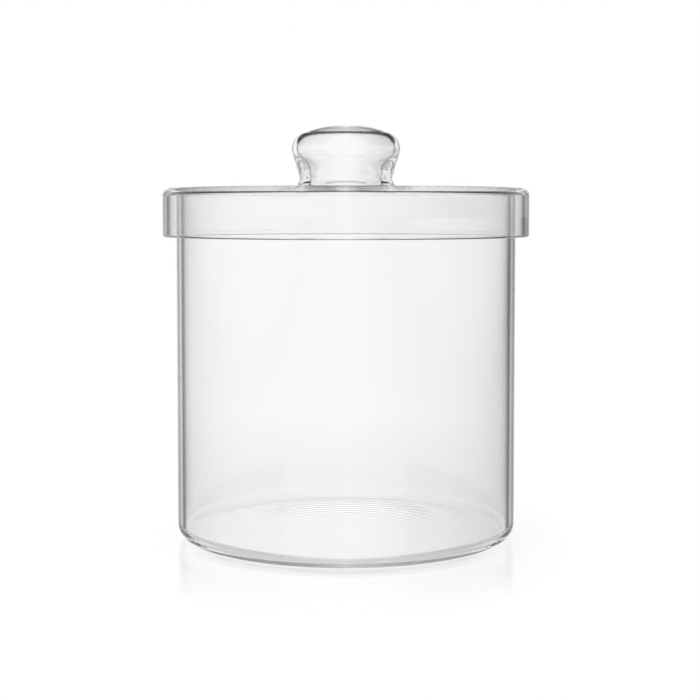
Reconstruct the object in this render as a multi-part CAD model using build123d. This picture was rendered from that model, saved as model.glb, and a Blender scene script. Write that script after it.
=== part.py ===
from build123d import *
import os
from math import asin, atan2, degrees, hypot, sqrt

# Round storage jar of clear glass with a loose overlapping lid.
# Millimetres, +Z up, origin at the centre of the jar's underside.

# Jar
jar_diameter = 150.0
jar_height = 152.0
jar_wall = 2.6
base_thickness = 3.0
# Rounding outside, between the flat base and the side
base_corner_radius = 6.5
# Rounding inside, between the floor and the side
floor_corner_radius = 4.0
# Fire-polished edge of the mouth; a narrow flat stays between the two roundings
rim_radius = 1.0

# Lid
plate_thickness = 2.5
# From the top of the plate to the free edge of the skirt
lid_height = 21.5
skirt_wall = 2.3
# Loose fit: the air between the jar's side and the skirt, all round
skirt_gap = 3.7
lid_corner_radius = 3.4
# Flat of the underside that stays outside the jar's rim, before the inner rounding starts
seat_margin = 2.6
skirt_edge_radius = 1.1

# Knob, outside: a shallow dome, a round shoulder, and a cone in to a waist that flares into the plate
knob_height = 28.3
knob_radius = 24.0
knob_dome_radius = 50.3
knob_shoulder_radius = 7.6
waist_radius = 20.6
waist_flare_radius = 4.6

# Knob, hollow: a domed bulb that draws in to a throat in one smooth curve, flared and open below
crown_thickness = 1.6
bulb_wall = 2.3
hollow_dome_radius = 45.0
hollow_shoulder_radius = 5.8
throat_radius = 15.7
throat_flare_radius = 6.0
# How strongly the curve holds to the upright where it leaves the bulb and where it reaches the throat
bulb_hold = 4.5
throat_hold = 5.0

jar_radius = jar_diameter / 2
plate_underside = jar_height
plate_top = plate_underside + plate_thickness
skirt_bottom = plate_top - lid_height
skirt_inner_radius = jar_radius + skirt_gap
skirt_outer_radius = skirt_inner_radius + skirt_wall


def jar():
    """Cylinder, floor and mouth as one section turned about the axis."""
    inner_radius = jar_radius - jar_wall
    outline = [
        (0, 0),
        (jar_radius, 0),
        (jar_radius, jar_height),
        (inner_radius, jar_height),
        (inner_radius, base_thickness),
        (0, base_thickness),
    ]
    roundings = [0, base_corner_radius, rim_radius, rim_radius, floor_corner_radius, 0]
    with BuildPart() as glass:
        with BuildSketch(Plane.XZ):
            with BuildLine():
                FilletPolyline(*outline, radius=roundings, close=True)
            make_face()
        revolve(axis=Axis.Z)
    return glass.part


def shoulder_centre(top, radius, dome, shoulder):
    """Centre of the shoulder's rounding inside a dome of the given top and radius."""
    across = radius - shoulder
    return across, top - dome + sqrt((dome - shoulder) ** 2 - across**2)


def knob_section():
    """Half section of the knob's outside, from the plate up to its crown.

    The dome runs into the shoulder, the shoulder into a straight cone, and the cone into the flare,
    each tangent to the next, so only the radii and heights are given.
    """
    top = plate_top + knob_height
    shoulder_x, shoulder_z = shoulder_centre(top, knob_radius, knob_dome_radius, knob_shoulder_radius)
    across = waist_radius + waist_flare_radius - shoulder_x
    down = shoulder_z - plate_top - waist_flare_radius
    distance = hypot(across, down)
    roundings = knob_shoulder_radius + waist_flare_radius
    # How far the cone leans in from the vertical, and where the dome ends, in degrees above the horizontal
    lean = degrees(asin(roundings / distance) - atan2(across, down))
    dome_end = degrees(atan2(shoulder_z - top + knob_dome_radius, shoulder_x))
    cone_length = sqrt(distance**2 - roundings**2)
    with BuildSketch(Plane.XZ) as section:
        with BuildLine():
            crown = JernArc((0, top), (1, 0), knob_dome_radius, dome_end - 90)
            bulge = JernArc(crown @ 1, crown % 1, knob_shoulder_radius, -dome_end - lean)
            cone = Line(bulge @ 1, (bulge @ 1) + (bulge % 1) * cone_length)
            flare = JernArc(cone @ 1, cone % 1, waist_flare_radius, 90 + lean)
            Polyline(flare @ 1, (0, plate_top), (0, top))
        make_face()
    return section.sketch


def hollow_section():
    """Half section of the hollow, from the underside of the plate up to its ceiling.

    Ceiling, shoulder, neck and flare are each tangent to the next; the neck is upright at both of its ends.
    """
    top = plate_top + knob_height - crown_thickness
    radius = knob_radius - bulb_wall
    shoulder_x, shoulder_z = shoulder_centre(top, radius, hollow_dome_radius, hollow_shoulder_radius)
    throat_z = plate_underside + throat_flare_radius
    dome_end = degrees(atan2(shoulder_z - top + hollow_dome_radius, shoulder_x))
    with BuildSketch(Plane.XZ) as section:
        with BuildLine():
            ceiling = JernArc((0, top), (1, 0), hollow_dome_radius, dome_end - 90)
            bulge = JernArc(ceiling @ 1, ceiling % 1, hollow_shoulder_radius, -dome_end)
            neck = Bezier(
                bulge @ 1,
                (radius, shoulder_z - bulb_hold),
                (throat_radius, throat_z + throat_hold),
                (throat_radius, throat_z),
            )
            flare = JernArc(neck @ 1, (0, -1), throat_flare_radius, 90)
            Polyline(flare @ 1, (0, plate_underside), (0, top))
        make_face()
    return section.sketch


def lid():
    """Plate, skirt and hollow knob as one section turned about the axis."""
    outline = [
        (0, plate_top),
        (skirt_outer_radius, plate_top),
        (skirt_outer_radius, skirt_bottom),
        (skirt_inner_radius, skirt_bottom),
        (skirt_inner_radius, plate_underside),
        (0, plate_underside),
    ]
    inner_corner_radius = skirt_gap - seat_margin
    roundings = [0, lid_corner_radius, skirt_edge_radius, skirt_edge_radius, inner_corner_radius, 0]
    with BuildPart() as glass:
        with BuildSketch(Plane.XZ):
            with BuildLine():
                FilletPolyline(*outline, radius=roundings, close=True)
            make_face()
            add(knob_section())
            add(hollow_section(), mode=Mode.SUBTRACT)
        revolve(axis=Axis.Z)
    return glass.part


os.makedirs("parts", exist_ok=True)
export_step(jar(), "parts/jar.step")
export_step(lid(), "parts/lid.step")
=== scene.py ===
import math

import bmesh
import bpy
import mathutils
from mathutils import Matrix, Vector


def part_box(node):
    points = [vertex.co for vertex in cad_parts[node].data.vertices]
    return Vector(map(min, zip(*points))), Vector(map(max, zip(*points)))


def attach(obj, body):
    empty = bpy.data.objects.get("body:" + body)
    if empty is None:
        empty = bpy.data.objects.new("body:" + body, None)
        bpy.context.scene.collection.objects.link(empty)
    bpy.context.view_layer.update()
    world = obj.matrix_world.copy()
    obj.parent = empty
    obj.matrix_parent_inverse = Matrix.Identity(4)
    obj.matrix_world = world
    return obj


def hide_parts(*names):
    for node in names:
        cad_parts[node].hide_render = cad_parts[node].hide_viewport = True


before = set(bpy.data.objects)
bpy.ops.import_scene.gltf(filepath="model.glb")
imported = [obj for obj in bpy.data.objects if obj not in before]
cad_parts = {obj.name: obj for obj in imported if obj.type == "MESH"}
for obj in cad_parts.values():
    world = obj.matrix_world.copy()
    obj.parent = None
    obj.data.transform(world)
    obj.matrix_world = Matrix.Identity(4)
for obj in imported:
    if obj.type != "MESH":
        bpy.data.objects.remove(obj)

bl_info = {
    "name": "Lidded Glass Jar",
    "version": (1, 0, 0),
    "blender": (4, 5, 0),
    "location": "3D View > Sidebar > Glass Jar",
    "description": "A clear glass jar with a loose knobbed lid, on a pale studio floor",
    "category": "Add Mesh",
}

MM = 0.001
JAR_LOW, JAR_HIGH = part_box("jar")
LID_LOW, LID_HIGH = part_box("lid")
KNOB_HEIGHT = 28.3 * MM
AIR_FILM = 0.02 * MM

# Strokes in each arc of a half section
BASE_CORNER_STEPS = 24
CORNER_STEPS = 20
INNER_CORNER_STEPS = 16
EDGE_STEPS = 12
DOME_STEPS = 24
SHOULDER_STEPS = 28
FLARE_STEPS = 20

# Sockets of the Mix node when it mixes colours
FACTOR, COLOUR_A, COLOUR_B, MIXED = 0, 6, 7, 2


def length(name, description, default):
    """A size of the object, in metres."""
    return bpy.props.FloatProperty(
        name=name,
        description=description,
        default=default,
        min=0,
        precision=5,
        subtype="DISTANCE",
        unit="LENGTH",
    )


def colour(name, description, hex_value):
    """A colour written as sRGB hex and kept as linear light."""
    return bpy.props.FloatVectorProperty(
        name=name, description=description, default=linear(hex_value), min=0, max=1, size=4, subtype="COLOR"
    )


def number(name, description, default):
    """A plain factor."""
    return bpy.props.FloatProperty(name=name, description=description, default=default, precision=4)


def angle(name, description, degrees):
    """An angle, given in degrees."""
    return bpy.props.FloatProperty(
        name=name, description=description, default=math.radians(degrees), subtype="ANGLE", unit="ROTATION"
    )


def linear(hex_value):
    """sRGB hex to linear RGBA."""
    parts = [int(hex_value[i:i + 2], 16) / 255 for i in (1, 3, 5)]
    return [c / 12.92 if c <= 0.04045 else ((c + 0.055) / 1.055) ** 2.4 for c in parts] + [1.0]


class JarSizes(bpy.types.PropertyGroup):
    radius: length("Outer radius", "Outside of the jar's wall", JAR_HIGH.x)
    height: length("Height", "From underside to rim, a film of air short of the lid", JAR_HIGH.z - AIR_FILM)
    wall: length("Wall", "Thickness of the side", 2.6 * MM)
    base_thickness: length("Base", "Thickness of the floor", 3.0 * MM)
    base_corner: length("Base corner", "Outside rounding between underside and side", 6.5 * MM)
    floor_corner: length("Floor corner", "Inside rounding between floor and side", 4.0 * MM)
    rim_rounding: length("Rim rounding", "Fire-polished edge of the mouth", 1.0 * MM)
    ripple_pitch: length("Ripple pitch", "From one ring to the next in the floor's inside", 4.8 * MM)
    ripple_height: length("Ripple height", "Rise of a ring above the floor", 0.06 * MM)
    ripple_start: length("Ripple start", "Radius at which the rings begin", 22.0 * MM)


class LidSizes(bpy.types.PropertyGroup):
    radius: length("Outer radius", "Outside of the skirt", LID_HIGH.x)
    top: length("Plate top", "Height of the plate's upper face", LID_HIGH.z - KNOB_HEIGHT)
    skirt_foot: length("Skirt foot", "Height of the skirt's free edge", LID_LOW.z)
    plate: length("Plate", "Thickness of the plate", 2.5 * MM)
    skirt: length("Skirt", "Thickness of the skirt", 2.3 * MM)
    corner: length("Corner", "Outside rounding between plate and skirt", 3.4 * MM)
    inner_corner: length("Inner corner", "Inside rounding between plate and skirt", 1.1 * MM)
    edge_rounding: length("Edge rounding", "Fire-polished edge of the skirt", 1.1 * MM)


class KnobSizes(bpy.types.PropertyGroup):
    crown: length("Crown", "Height of the knob's top", LID_HIGH.z)
    radius: length("Radius", "Widest part outside", 24.0 * MM)
    dome: length("Dome", "Radius of the shallow dome", 50.3 * MM)
    shoulder: length("Shoulder", "Rounding at the widest part", 7.6 * MM)
    waist: length("Waist", "Narrowest part outside", 20.6 * MM)
    flare: length("Flare", "Rounding from waist to plate", 4.6 * MM)


class HollowSizes(bpy.types.PropertyGroup):
    crown_wall: length("Crown wall", "Glass over the hollow", 1.6 * MM)
    side_wall: length("Side wall", "Glass beside the hollow at its widest", 2.3 * MM)
    dome: length("Dome", "Radius of the ceiling", 45.0 * MM)
    shoulder: length("Shoulder", "Rounding at the widest part", 5.8 * MM)
    throat: length("Throat", "Narrowest part", 15.7 * MM)
    flare: length("Flare", "Rounding from throat to underside", 6.0 * MM)
    bulb_hold: length("Bulb hold", "How far the neck follows the upright below the bulb", 4.5 * MM)
    throat_hold: length("Throat hold", "How far the neck follows the upright above the throat", 5.0 * MM)


class GlassAndPaintedShade(bpy.types.PropertyGroup):
    # Painted shade carried by the glass's coat tint: a little grey head on, greyer at a slant and edge-on,
    # and a dark contour line where light leaves the glass along its surface
    body: colour("Body", "What one upright surface lets through when it is met head on", "#FDFDFD")
    flank_shade: colour("Flank", "The same, when it is met at a slant", "#FAFAFA")
    limb_shade: colour("Limb", "The same, when it is met edge-on", "#F4F4F4")
    contour_shade: colour("Contour", "The same, for light that leaves the glass along its surface", "#5C5C5C")
    refraction: number("Refractive index", "Borosilicate glass", 1.473)


class StudioSetup(bpy.types.PropertyGroup):
    backdrop: colour("Backdrop", "Background and floor", "#FFFFFF")
    seamless: number("Seamless", "Share of the floor that shows as backdrop, with no shade on it", 0.92)
    gloss: number("Gloss", "Share of the floor that mirrors", 0.3)
    ceiling: colour("Ceiling", "Room above the backdrop", "#303030")
    overhead: colour("Overhead", "Soft light above and in front", "#F4F4F4")
    rounding: number("Rounding", "How much the light above draws in towards the sides", 1.2)
    right: colour("Right", "Share of the light that comes from just right of the backdrop", "#E8E8E8")
    far_right: colour("Far right", "Share of the light that comes from the far right", "#FAFAFA")
    lowering: number("Lowering", "How much lower the ceiling starts at the sides", 4.0)
    # Painted shade on the floor, which glass and mirrored light show but the camera does not: slight under
    # and before the jar, more close behind it and on its right
    under: colour("Under the jar", "The floor under and before the jar, as glass shows it", "#F8F8F8")
    shade: colour("Shade", "The floor close behind the jar, as glass shows it", "#F4F4F4")
    shade_reach: length("Shade reach", "How far behind the axis the shade ends", 400 * MM)
    floor_right_shade: colour("Floor right", "The floor 0.6 m to the jar's right, as glass shows it", "#CECECE")
    right_start: length("Right start", "Distance over which the floor's shade on the right sets in", 600 * MM)
    mirror_start: length("Mirror start", "From the axis to where the mirror image starts to fade", 95 * MM)
    mirror_end: length("Mirror end", "From the axis to where the floor is plain backdrop", 150 * MM)
    mirror_squeeze: number("Mirror squeeze", "How much sooner the mirror image fades to the sides", 1.5)
    eye_height: length("Eye height", "Camera above the floor", 144.35 * MM)
    eye_distance: length("Eye distance", "Camera from the jar's axis", 681.0 * MM)
    eye_offset: length("Eye offset", "Camera to the right of the axis", 1.8 * MM)
    look_down: angle("Look down", "Pitch of the camera below level", 3.325)
    focal: number("Focal length", "Lens in millimetres on a 36 mm sensor", 78.66)
    rise: number("Rise", "Vertical shift of the lens, as a share of the frame", -0.0714)


def start_section(mesh, x, z):
    """First point of a half section in the XZ plane."""
    return mesh.verts.new((x, 0, z))


def draw_line(mesh, tip, x, z):
    """Straight stroke, with a guard point near each end so that smooth shading stays flat along it."""
    guard = 0.25 * MM
    end = tip.co.copy()
    end.x, end.z = x, z
    run = end - tip.co
    stops = [end]
    if run.length > 4 * guard:
        step = run.normalized() * guard
        stops = [tip.co + step, end - step, end]
    for stop in stops:
        tip = bmesh.ops.extrude_vert_indiv(mesh, verts=[tip])["verts"][0]
        tip.co = stop
    return tip


def draw_arc(mesh, tip, centre_x, centre_z, degrees, steps):
    """Round stroke about a centre, positive from +X towards +Z."""
    spun = bmesh.ops.spin(
        mesh,
        geom=[tip],
        cent=(centre_x, 0, centre_z),
        axis=(0, -1, 0),
        angle=math.radians(degrees),
        steps=steps,
        use_duplicate=False,
    )
    return next(part for part in spun["geom_last"] if isinstance(part, bmesh.types.BMVert))


def draw_curve(mesh, tip, *controls):
    """Smooth stroke with the last three points of a cubic Bezier curve that starts at the tip."""
    points_along = 33
    points = [tip.co, *(mathutils.Vector((x, 0, z)) for x, z in controls)]
    for point in mathutils.geometry.interpolate_bezier(*points, points_along)[1:]:
        tip = bmesh.ops.extrude_vert_indiv(mesh, verts=[tip])["verts"][0]
        tip.co = point
    return tip


def draw_ripples(mesh, tip, size):
    """Rings in the floor's inside from the corner inwards, as the turning mould leaves them."""
    steps_per_ring = 12
    step = size.ripple_pitch / steps_per_ring
    edge = tip.co.x
    reach = edge - size.ripple_start
    for index in range(1, int(reach / step)):
        x = edge - index * step
        fade = math.sin(math.pi * (edge - x) / reach)
        wave = 0.5 - 0.5 * math.cos(math.tau * (edge - x) / size.ripple_pitch)
        tip = bmesh.ops.extrude_vert_indiv(mesh, verts=[tip])["verts"][0]
        tip.co = (x, 0, size.base_thickness + size.ripple_height * fade * wave)
    return tip


def flatten_front(piece, size):
    """Lets the floor's rings die out towards the front, so that they show in the back half only."""
    strongest = math.radians(80)
    falloff = 1.5
    low = size.base_thickness
    high = low + size.ripple_height
    floor_edge = size.radius - size.wall - size.floor_corner
    for point in piece.data.vertices:
        if low < point.co.z <= high and point.co.xy.length < floor_edge:
            bearing = math.atan2(point.co.y, point.co.x) - strongest
            share = max(0.0, math.cos(bearing)) ** falloff
            point.co.z = low + (point.co.z - low) * share


def draw_bulb(mesh, top, radius, dome, shoulder, lean):
    """Dome and shoulder from the crown to where the shoulder leans in by the given degrees."""
    shoulder_x = radius - shoulder
    shoulder_z = shoulder_height(top, radius, dome, shoulder)
    dome_end = math.degrees(math.atan2(shoulder_z - top + dome, shoulder_x))
    tip = start_section(mesh, 0, top)
    tip = draw_arc(mesh, tip, 0, top - dome, dome_end - 90, DOME_STEPS)
    return draw_arc(mesh, tip, shoulder_x, shoulder_z, -dome_end - lean, SHOULDER_STEPS)


def shoulder_height(top, radius, dome, shoulder):
    """Height at which a shoulder that rounds off a dome is widest."""
    return top - dome + math.sqrt((dome - shoulder) ** 2 - (radius - shoulder) ** 2)


def draw_knob(mesh, knob, foot):
    """Outside of the knob, crown to plate: dome, shoulder, cone and flare, each tangent to the next."""
    flare_x = knob.waist + knob.flare
    flare_z = foot + knob.flare
    across = flare_x - knob.radius + knob.shoulder
    down = shoulder_height(knob.crown, knob.radius, knob.dome, knob.shoulder) - flare_z
    lean = math.asin((knob.shoulder + knob.flare) / math.hypot(across, down)) - math.atan2(across, down)
    tip = draw_bulb(mesh, knob.crown, knob.radius, knob.dome, knob.shoulder, math.degrees(lean))
    tip = draw_line(mesh, tip, flare_x - knob.flare * math.cos(lean), flare_z + knob.flare * math.sin(lean))
    return draw_arc(mesh, tip, flare_x, flare_z, 90 + math.degrees(lean), FLARE_STEPS)


def draw_hollow(mesh, hollow, knob, foot):
    """Hollow of the knob, ceiling to underside: dome, shoulder, smooth neck and flare."""
    top = knob.crown - hollow.crown_wall
    radius = knob.radius - hollow.side_wall
    widest = shoulder_height(top, radius, hollow.dome, hollow.shoulder)
    throat_z = foot + hollow.flare
    tip = draw_bulb(mesh, top, radius, hollow.dome, hollow.shoulder, 0)
    tip = draw_curve(
        mesh,
        tip,
        (radius, widest - hollow.bulb_hold),
        (hollow.throat, throat_z + hollow.throat_hold),
        (hollow.throat, throat_z),
    )
    return draw_arc(mesh, tip, hollow.throat + hollow.flare, throat_z, 90, FLARE_STEPS)


def lathe(mesh, name):
    """Turns the half section about the axis into one closed glass shell and makes it an object."""
    segments = 256
    merge_distance = 0.002 * MM
    bmesh.ops.remove_doubles(mesh, verts=mesh.verts[:], dist=merge_distance)
    bmesh.ops.spin(
        mesh,
        geom=mesh.verts[:] + mesh.edges[:],
        cent=(0, 0, 0),
        axis=(0, 0, 1),
        angle=math.tau,
        steps=segments,
        use_merge=True,
    )
    bmesh.ops.remove_doubles(mesh, verts=mesh.verts[:], dist=merge_distance)
    bmesh.ops.recalc_face_normals(mesh, faces=mesh.faces[:])
    for face in mesh.faces:
        face.smooth = True
    data = bpy.data.meshes.new(name)
    mesh.to_mesh(data)
    mesh.free()
    piece = bpy.data.objects.new(name, data)
    bpy.context.scene.collection.objects.link(piece)
    return piece


def add_node(tree, kind, settings=None, links=None):
    """One node, with its settings and the outputs that feed it."""
    made = tree.nodes.new(kind)
    for name, value in (settings or {}).items():
        if isinstance(name, int) or name in made.inputs:
            made.inputs[name].default_value = value
        else:
            setattr(made, name, value)
    for name, source in (links or {}).items():
        tree.links.new(source, made.inputs[name])
    return made


def paint_ramp(ramp, *stops):
    """Sets a colour ramp's stops, each a position and a colour."""
    elements = ramp.color_ramp.elements
    while len(elements) < len(stops):
        elements.new(1.0)
    for element, (position, shade) in zip(elements, stops):
        element.position = position
        element.color = shade


def clear_tree(tree):
    """Empties a node tree before it is built."""
    tree.nodes.clear()
    return tree


def blown_borosilicate_glass():
    """Blown borosilicate, fire-polished: colourless and mirror smooth, with painted shade for its grey limbs
    and thin dark contours.

    The clear coat's tint carries this painted shade, because a coat that bends no light adds no gloss of its
    own.
    """
    known = bpy.data.materials.get("blown_borosilicate_glass")
    if known:
        return known
    glass_and_shade = bpy.context.scene.jar_glass
    material = bpy.data.materials.new("blown_borosilicate_glass")
    material.use_nodes = True
    tree = clear_tree(material.node_tree)
    white = linear("#FFFFFF")
    facing = add_node(tree, "ShaderNodeLayerWeight", {"Blend": 0.5})
    side = add_node(tree, "ShaderNodeNewGeometry")
    # Positions from head on, at 0, to edge-on, at 1
    head_on, slant, edge_on, past_edge = 0.2, 0.7, 0.82, 0.92
    # Painted shade that greys a surface more the more edge-on it is met
    entering_shade = add_node(tree, "ShaderNodeValToRGB", links={"Fac": facing.outputs["Facing"]})
    paint_ramp(
        entering_shade, (head_on, glass_and_shade.body), (slant, glass_and_shade.flank_shade), (edge_on, glass_and_shade.limb_shade), (past_edge, white)
    )
    # Light that leaves the glass along its surface meets it at the critical angle, where a thin dark line of
    # painted shade is put
    critical = 1 - math.sqrt(1 - 1 / glass_and_shade.refraction**2)
    before, after = critical - 0.011, critical + 0.006
    leaving_shade = add_node(tree, "ShaderNodeValToRGB", links={"Fac": facing.outputs["Facing"]})
    paint_ramp(leaving_shade, (before, white), (critical, glass_and_shade.contour_shade), (after, white))
    shade = add_node(
        tree,
        "ShaderNodeMix",
        {"data_type": "RGBA"},
        {
            FACTOR: side.outputs["Backfacing"],
            COLOUR_A: entering_shade.outputs["Color"],
            COLOUR_B: leaving_shade.outputs["Color"],
        },
    )
    # The painted shade falls in full on upright walls, not at all on level faces
    axes = add_node(tree, "ShaderNodeSeparateXYZ", links={"Vector": side.outputs["Normal"]})
    level = add_node(tree, "ShaderNodeMath", {"operation": "ABSOLUTE"}, {0: axes.outputs["Z"]})
    wall_shade = add_node(
        tree,
        "ShaderNodeMix",
        {"data_type": "RGBA", COLOUR_B: white},
        {FACTOR: level.outputs[0], COLOUR_A: shade.outputs[MIXED]},
    )
    glass = add_node(
        tree,
        "ShaderNodeBsdfPrincipled",
        {
            "Base Color": white,
            "Roughness": 0.0,
            "IOR": glass_and_shade.refraction,
            "Transmission Weight": 1.0,
            "Coat Weight": 1.0,
            "Coat Roughness": 0.0,
            "Coat IOR": 1.0,
        },
        {"Coat Tint": wall_shade.outputs[MIXED]},
    )
    add_node(tree, "ShaderNodeOutputMaterial", links={"Surface": glass.outputs["BSDF"]})
    return material


class GLASSJAR_OT_jar(bpy.types.Operator):
    """Blow the jar: cylinder, flat base and fire-polished mouth in one shell"""

    bl_idname = "glassjar.add_jar"
    bl_label = "Add Jar"

    def execute(self, context):
        size = context.scene.jar_sizes
        mesh = bmesh.new()
        inner, floor = size.radius - size.wall, size.base_thickness
        corner, floor_corner, rim = size.base_corner, size.floor_corner, size.rim_rounding
        tip = start_section(mesh, 0, 0)
        tip = draw_line(mesh, tip, size.radius - corner, 0)
        tip = draw_arc(mesh, tip, size.radius - corner, corner, 90, BASE_CORNER_STEPS)
        tip = draw_line(mesh, tip, size.radius, size.height - rim)
        tip = draw_arc(mesh, tip, size.radius - rim, size.height - rim, 90, EDGE_STEPS)
        tip = draw_line(mesh, tip, inner + rim, size.height)
        tip = draw_arc(mesh, tip, inner + rim, size.height - rim, 90, EDGE_STEPS)
        tip = draw_line(mesh, tip, inner, floor + floor_corner)
        tip = draw_arc(mesh, tip, inner - floor_corner, floor + floor_corner, -90, CORNER_STEPS)
        tip = draw_ripples(mesh, tip, size)
        draw_line(mesh, tip, 0, floor)
        piece = lathe(mesh, "glass_jar")
        flatten_front(piece, size)
        piece.data.materials.append(blown_borosilicate_glass())
        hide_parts("jar")
        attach(piece, "root")
        return {"FINISHED"}


class GLASSJAR_OT_lid(bpy.types.Operator):
    """Blow the lid: plate, skirt and hollow knob in one shell"""

    bl_idname = "glassjar.add_lid"
    bl_label = "Add Lid"

    def execute(self, context):
        size = context.scene.lid_sizes
        knob = context.scene.knob_sizes
        hollow = context.scene.hollow_sizes
        under = size.top - size.plate
        inner = size.radius - size.skirt
        corner, inner_corner, edge = size.corner, size.inner_corner, size.edge_rounding
        mesh = bmesh.new()
        tip = draw_knob(mesh, knob, size.top)
        tip = draw_line(mesh, tip, size.radius - corner, size.top)
        tip = draw_arc(mesh, tip, size.radius - corner, size.top - corner, -90, CORNER_STEPS)
        tip = draw_line(mesh, tip, size.radius, size.skirt_foot + edge)
        tip = draw_arc(mesh, tip, size.radius - edge, size.skirt_foot + edge, -90, EDGE_STEPS)
        tip = draw_line(mesh, tip, inner + edge, size.skirt_foot)
        tip = draw_arc(mesh, tip, inner + edge, size.skirt_foot + edge, -90, EDGE_STEPS)
        tip = draw_line(mesh, tip, inner, under - inner_corner)
        tip = draw_arc(mesh, tip, inner - inner_corner, under - inner_corner, 90, INNER_CORNER_STEPS)
        draw_line(mesh, tip, hollow.throat + hollow.flare, under)
        draw_hollow(mesh, hollow, knob, under)
        piece = lathe(mesh, "glass_lid")
        piece.data.materials.append(blown_borosilicate_glass())
        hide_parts("lid")
        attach(piece, "root")
        return {"FINISHED"}


class GLASSJAR_OT_studio(bpy.types.Operator):
    """Set the pale floor, the white backdrop, the soft lamps and the camera"""

    bl_idname = "glassjar.add_studio"
    bl_label = "Add Studio"

    def execute(self, context):
        setup = context.scene.jar_studio
        add_floor(setup)
        add_world(setup)
        add_lamps()
        add_camera(setup)
        scene = context.scene
        scene.view_settings.view_transform = "Standard"
        bounces = 64
        scene.cycles.max_bounces = bounces
        scene.cycles.transmission_bounces = bounces
        scene.cycles.glossy_bounces = bounces
        return {"FINISHED"}


def add_floor(setup):
    """A wide table top just under the jar."""
    reach = 30.0
    clearance = 0.2 * MM
    mesh = bmesh.new()
    bmesh.ops.create_grid(mesh, x_segments=1, y_segments=1, size=reach)
    data = bpy.data.meshes.new("studio_floor")
    mesh.to_mesh(data)
    mesh.free()
    floor = bpy.data.objects.new("studio_floor", data)
    floor.location.z = -clearance
    bpy.context.scene.collection.objects.link(floor)
    floor.data.materials.append(white_table_top(setup))


def white_table_top(setup):
    """White lacquered board, slightly glossy, that shows a faint mirror image close to the jar, and painted
    shade under, behind and to the right of the jar where glass or mirrored light shows it.
    """
    roughness = 0.04
    # Where the painted shade behind the jar is darkest, as a share of its reach
    darkest = 0.22
    # Where the painted shade on the right is darkest and where it ends, as a share of the way straight to the
    # right
    right_darkest, right_end = 0.5, 0.75
    material = bpy.data.materials.new("white_table_top")
    material.use_nodes = True
    tree = clear_tree(material.node_tree)
    lit = add_node(tree, "ShaderNodeBsdfDiffuse", {"Color": setup.backdrop})
    path = add_node(tree, "ShaderNodeLightPath")
    place = add_node(tree, "ShaderNodeTexCoord")
    distance = add_node(tree, "ShaderNodeVectorMath", {"operation": "LENGTH"}, {0: place.outputs["Object"]})
    axes = add_node(tree, "ShaderNodeSeparateXYZ", links={"Vector": place.outputs["Object"]})
    behind = add_node(
        tree, "ShaderNodeMapRange", {"From Max": setup.shade_reach}, {"Value": axes.outputs["Y"]}
    )
    # Painted shade on the floor: slight under and before the jar, darkest close behind it, none further back
    shade = add_node(tree, "ShaderNodeValToRGB", links={"Fac": behind.outputs["Result"]})
    paint_ramp(shade, (0.0, setup.under), (darkest, setup.shade), (1.0, setup.backdrop))
    eased = add_node(
        tree, "ShaderNodeMath", {"operation": "ADD", 1: setup.right_start}, {0: distance.outputs["Value"]}
    )
    sideways = add_node(
        tree, "ShaderNodeMath", {"operation": "DIVIDE"}, {0: axes.outputs["X"], 1: eased.outputs[0]}
    )
    # Painted shade on the floor to the jar's right
    right_shade = add_node(tree, "ShaderNodeValToRGB", links={"Fac": sideways.outputs[0]})
    paint_ramp(
        right_shade, (0.0, setup.backdrop), (right_darkest, setup.floor_right_shade), (right_end, setup.backdrop)
    )
    painted_floor_shade = add_node(
        tree,
        "ShaderNodeMix",
        {"data_type": "RGBA", "blend_type": "MULTIPLY", FACTOR: 1.0},
        {COLOUR_A: shade.outputs["Color"], COLOUR_B: right_shade.outputs["Color"]},
    )
    # Camera rays see the plain backdrop; glass and mirrored rays see the painted floor shade
    floor_shade_in_glass = add_node(
        tree,
        "ShaderNodeMix",
        {"data_type": "RGBA", COLOUR_B: setup.backdrop},
        {FACTOR: path.outputs["Is Camera Ray"], COLOUR_A: painted_floor_shade.outputs[MIXED]},
    )
    glow = add_node(tree, "ShaderNodeEmission", {"Strength": 1.0}, {"Color": floor_shade_in_glass.outputs[MIXED]})
    camera_or_glossy = add_node(
        tree,
        "ShaderNodeMath",
        {"operation": "MAXIMUM"},
        {0: path.outputs["Is Camera Ray"], 1: path.outputs["Is Glossy Ray"]},
    )
    seen = add_node(
        tree,
        "ShaderNodeMath",
        {"operation": "MAXIMUM"},
        {0: camera_or_glossy.outputs[0], 1: path.outputs["Is Transmission Ray"]},
    )
    share = add_node(
        tree, "ShaderNodeMath", {"operation": "MULTIPLY", 1: setup.seamless}, {0: seen.outputs[0]}
    )
    board = add_node(
        tree, "ShaderNodeMixShader", links={0: share.outputs[0], 1: lit.outputs[0], 2: glow.outputs[0]}
    )
    gloss = add_node(tree, "ShaderNodeBsdfGlossy", {"Color": setup.backdrop, "Roughness": roughness})
    near = add_node(
        tree, "ShaderNodeMixShader", {0: setup.gloss}, links={1: board.outputs[0], 2: gloss.outputs[0]}
    )
    squeezed = add_node(
        tree,
        "ShaderNodeVectorMath",
        {"operation": "MULTIPLY", 1: (setup.mirror_squeeze, 1.0, 1.0)},
        {0: place.outputs["Object"]},
    )
    spread = add_node(tree, "ShaderNodeVectorMath", {"operation": "LENGTH"}, {0: squeezed.outputs["Vector"]})
    away = add_node(
        tree,
        "ShaderNodeMapRange",
        {"From Min": setup.mirror_start, "From Max": setup.mirror_end},
        {"Value": spread.outputs["Value"]},
    )
    cleared = add_node(
        tree, "ShaderNodeMath", {"operation": "MULTIPLY"}, {0: away.outputs["Result"], 1: seen.outputs[0]}
    )
    surface = add_node(
        tree, "ShaderNodeMixShader", links={0: cleared.outputs[0], 1: near.outputs[0], 2: glow.outputs[0]}
    )
    add_node(tree, "ShaderNodeOutputMaterial", links={"Surface": surface.outputs[0]})
    return material


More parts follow.
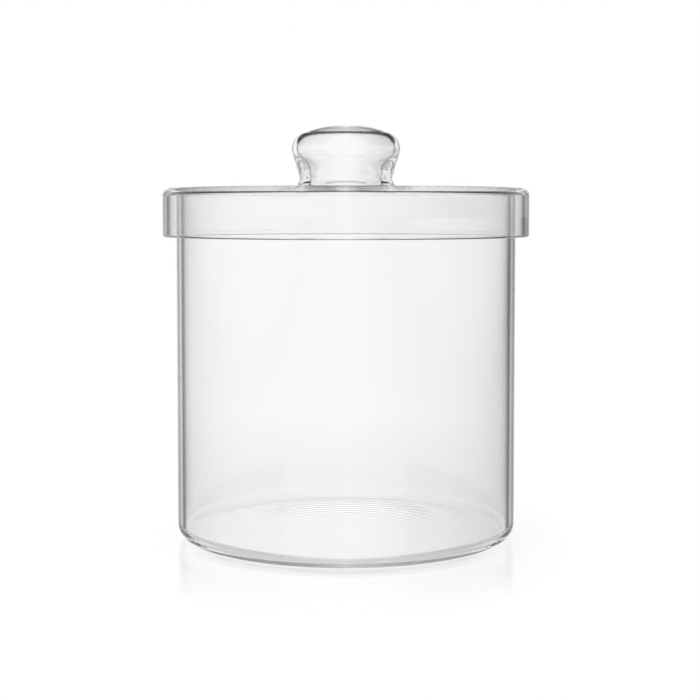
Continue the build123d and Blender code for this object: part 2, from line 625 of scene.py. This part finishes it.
def add_world(setup):
    """White all round for the camera; glass and the floor also meet a darker ceiling and right side."""
    # Heights above the horizon, from 0 to 1 straight up, where the ceiling begins and where it is full
    ceiling_start, ceiling_full = 0.48, 0.62
    # Heights above which mirrored light, too, meets the lowered ceiling
    steep_start, steep_full = 0.3, 0.4
    # From in front, at -1, to behind, at 1: where the soft light above ends and the ceiling is bare
    overhead_end, bare_start = 0.1, 0.25
    # From straight ahead, at 0, to straight right, at 1
    backdrop_edge, right_edge, far_edge = 0.01, 0.11, 0.8
    world = bpy.data.worlds.new("studio_world")
    bpy.context.scene.world = world
    world.use_nodes = True
    tree = clear_tree(world.node_tree)
    direction = add_node(tree, "ShaderNodeTexCoord")
    split = add_node(tree, "ShaderNodeSeparateXYZ", links={"Vector": direction.outputs["Generated"]})
    aside = add_node(tree, "ShaderNodeMath", {"operation": "ABSOLUTE"}, {0: split.outputs["X"]})
    path = add_node(tree, "ShaderNodeLightPath")
    steep = add_node(
        tree,
        "ShaderNodeMapRange",
        {"From Min": steep_start, "From Max": steep_full},
        {"Value": split.outputs["Z"]},
    )
    lowered = add_node(
        tree,
        "ShaderNodeMath",
        {"operation": "MAXIMUM"},
        {0: steep.outputs["Result"], 1: path.outputs["Is Transmission Ray"]},
    )
    lowered_aside = add_node(
        tree, "ShaderNodeMath", {"operation": "MULTIPLY"}, {0: aside.outputs[0], 1: lowered.outputs[0]}
    )
    lowering = add_node(
        tree,
        "ShaderNodeMath",
        {"operation": "MULTIPLY_ADD", 1: setup.lowering, 2: 1.0},
        {0: lowered_aside.outputs[0]},
    )
    climb = add_node(
        tree, "ShaderNodeMath", {"operation": "MULTIPLY"}, {0: split.outputs["Z"], 1: lowering.outputs[0]}
    )
    above = add_node(
        tree,
        "ShaderNodeMapRange",
        {"From Min": ceiling_start, "From Max": ceiling_full},
        {"Value": climb.outputs[0]},
    )
    depth = add_node(
        tree,
        "ShaderNodeMath",
        {"operation": "MULTIPLY_ADD", 1: setup.rounding},
        {0: aside.outputs[0], 2: split.outputs["Y"]},
    )
    ramp = add_node(tree, "ShaderNodeValToRGB", links={"Fac": depth.outputs[0]})
    paint_ramp(ramp, (overhead_end, setup.overhead), (bare_start, setup.ceiling))
    side = add_node(tree, "ShaderNodeValToRGB", links={"Fac": split.outputs["X"]})
    paint_ramp(side, (backdrop_edge, setup.backdrop), (right_edge, setup.right), (far_edge, setup.far_right))
    dome = add_node(
        tree,
        "ShaderNodeMix",
        {"data_type": "RGBA", COLOUR_A: setup.backdrop},
        {FACTOR: above.outputs["Result"], COLOUR_B: ramp.outputs["Color"]},
    )
    shaded = add_node(
        tree,
        "ShaderNodeMix",
        {"data_type": "RGBA", "blend_type": "MULTIPLY", FACTOR: 1.0},
        {COLOUR_A: dome.outputs[MIXED], COLOUR_B: side.outputs["Color"]},
    )
    room = add_node(tree, "ShaderNodeBackground", {"Strength": 1.0}, {"Color": shaded.outputs[MIXED]})
    plain = add_node(tree, "ShaderNodeBackground", {"Color": setup.backdrop, "Strength": 1.0})
    mix = add_node(
        tree,
        "ShaderNodeMixShader",
        links={0: path.outputs["Is Camera Ray"], 1: room.outputs[0], 2: plain.outputs[0]},
    )
    add_node(tree, "ShaderNodeOutputWorld", links={"Surface": mix.outputs[0]})


def add_lamps():
    """Soft boxes: a key high on the left, a fill on the right and one overhead."""
    aim_height = 0.09
    # Name, place and size in metres, watts
    lamps = (
        ("key_softbox", (-0.9, -0.9, 1.1), (0.6, 0.8), 12.0),
        ("fill_softbox", (1.1, -0.5, 0.8), (0.4, 0.8), 6.0),
        ("top_softbox", (0.0, 0.2, 1.5), (0.9, 0.9), 16.0),
    )
    for name, place, size, power in lamps:
        light = bpy.data.lights.new(name, "AREA")
        light.shape = "RECTANGLE"
        light.size, light.size_y = size
        light.energy = power
        lamp = bpy.data.objects.new(name, light)
        lamp.location = place
        aim = lamp.location * -1
        aim.z += aim_height
        lamp.rotation_mode = "QUATERNION"
        lamp.rotation_quaternion = aim.to_track_quat("-Z", "Y")
        lamp.visible_glossy = False
        lamp.visible_transmission = False
        bpy.context.scene.collection.objects.link(lamp)


def add_camera(setup):
    """The photograph's viewpoint, level with the lid."""
    lens = bpy.data.cameras.new("jar_camera")
    lens.sensor_width = 36
    lens.lens = setup.focal
    lens.shift_y = setup.rise
    lens.clip_start = 0.01
    camera = bpy.data.objects.new("jar_camera", lens)
    camera.location = (setup.eye_offset, -setup.eye_distance, setup.eye_height)
    camera.rotation_euler = (math.radians(90) - setup.look_down, 0, 0)
    bpy.context.scene.collection.objects.link(camera)
    bpy.context.scene.camera = camera


class GLASSJAR_PT_panel(bpy.types.Panel):
    """Buttons that build the jar"""

    bl_idname = "GLASSJAR_PT_panel"
    bl_label = "Glass Jar"
    bl_space_type = "VIEW_3D"
    bl_region_type = "UI"
    bl_category = "Glass Jar"

    def draw(self, context):
        for operator in OPERATORS:
            self.layout.operator(operator.bl_idname)
        for group in GROUPS:
            box = self.layout.box()
            values = getattr(context.scene, group)
            for name in GROUPS[group].__annotations__:
                box.prop(values, name)


OPERATORS = (GLASSJAR_OT_jar, GLASSJAR_OT_lid, GLASSJAR_OT_studio)
GROUPS = {
    "jar_sizes": JarSizes,
    "lid_sizes": LidSizes,
    "knob_sizes": KnobSizes,
    "hollow_sizes": HollowSizes,
    "jar_glass": GlassAndPaintedShade,
    "jar_studio": StudioSetup,
}


def register():
    for kind in (*GROUPS.values(), *OPERATORS, GLASSJAR_PT_panel):
        bpy.utils.register_class(kind)
    for group, kind in GROUPS.items():
        setattr(bpy.types.Scene, group, bpy.props.PointerProperty(type=kind))


def unregister():
    for group in GROUPS:
        delattr(bpy.types.Scene, group)
    for kind in (GLASSJAR_PT_panel, *OPERATORS, *GROUPS.values()):
        bpy.utils.unregister_class(kind)


def main():
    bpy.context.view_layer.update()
    register()
    bpy.ops.glassjar.add_jar()
    bpy.ops.glassjar.add_lid()
    bpy.ops.glassjar.add_studio()


if __name__ == "__main__":
    main()
